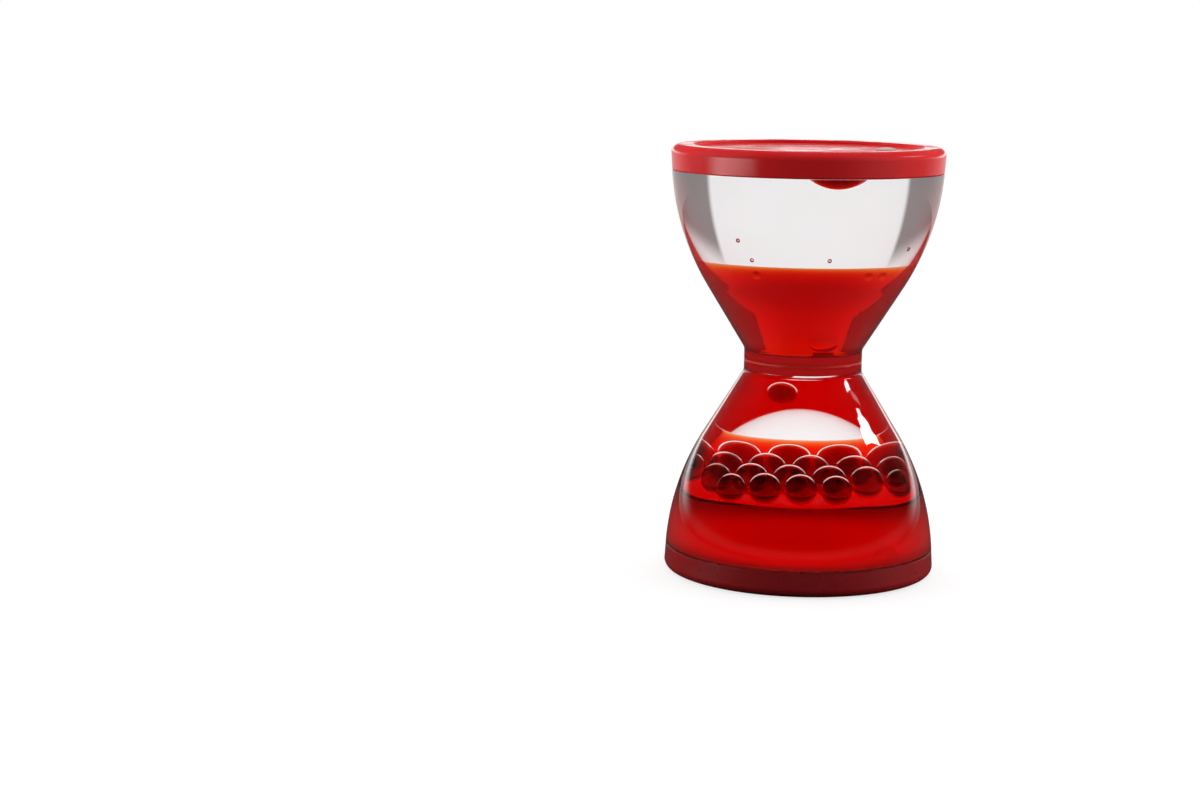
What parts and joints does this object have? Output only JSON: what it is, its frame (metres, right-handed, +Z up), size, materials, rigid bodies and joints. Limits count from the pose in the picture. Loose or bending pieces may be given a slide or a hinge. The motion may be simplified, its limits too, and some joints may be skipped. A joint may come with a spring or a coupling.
{
  "type": "liquid motion timer",
  "caption": "Hourglass-shaped liquid timer: two clear bowls joined at a neck, red caps, and red drops that fall through clear liquid.",
  "frame": {"origin": "centre of the lower cap's standing face, on the timer's axis", "axes": "+Z up along the axis from the lower cap to the upper cap; +X towards the riser spout and the fill port; -Y towards the viewer"},
  "size_m": [0.052, 0.052, 0.082],
  "materials": {
    "clear_plastic": "clear moulded polystyrene, polished",
    "red_plastic": "red moulded ABS, glossy",
    "plate_plastic": "red moulded ABS",
    "plug_plastic": "pale moulded polyethylene",
    "sealant": "cured clear sealant",
    "clear_liquid": "clear light oil",
    "red_liquid": "dyed red water mix",
    "air": "air bubble"
  },
  "bodies": {
    "timer": {"upper_bowl": "clear_plastic", "lower_bowl": "clear_plastic", "upper_cap": "red_plastic", "lower_cap": "red_plastic", "upper_cap_sealant": "sealant", "lower_cap_sealant": "sealant", "neck_weld_bead": "sealant", "orifice_plate": "plate_plastic", "fill_plug": "plug_plastic", "fill_sealant": "sealant", "upper_clear_liquid": "clear_liquid", "upper_red_liquid": "red_liquid", "lower_clear_liquid": "clear_liquid", "lower_red_liquid": "red_liquid", "settled_red_drops": "red_liquid", "clinging_red_drop": "red_liquid", "clinging_clear_drop": "clear_liquid", "risen_clear_drops": "clear_liquid", "wall_bubbles": "air"},
    "falling_drop": {"falling_red_drop": "red_liquid"},
    "rising_drop": {"rising_clear_drop": "clear_liquid"}
  },
  "joints": [
    {"name": "red_drop_fall", "type": "slide", "parent": "timer", "child": "falling_drop", "axis": [0, 0, -1], "range_m": [-0.00225, 0.01035]},
    {"name": "clear_drop_rise", "type": "slide", "parent": "timer", "child": "rising_drop", "axis": [0, 0, 1], "range_m": [0, 0.0116]}
  ]
}
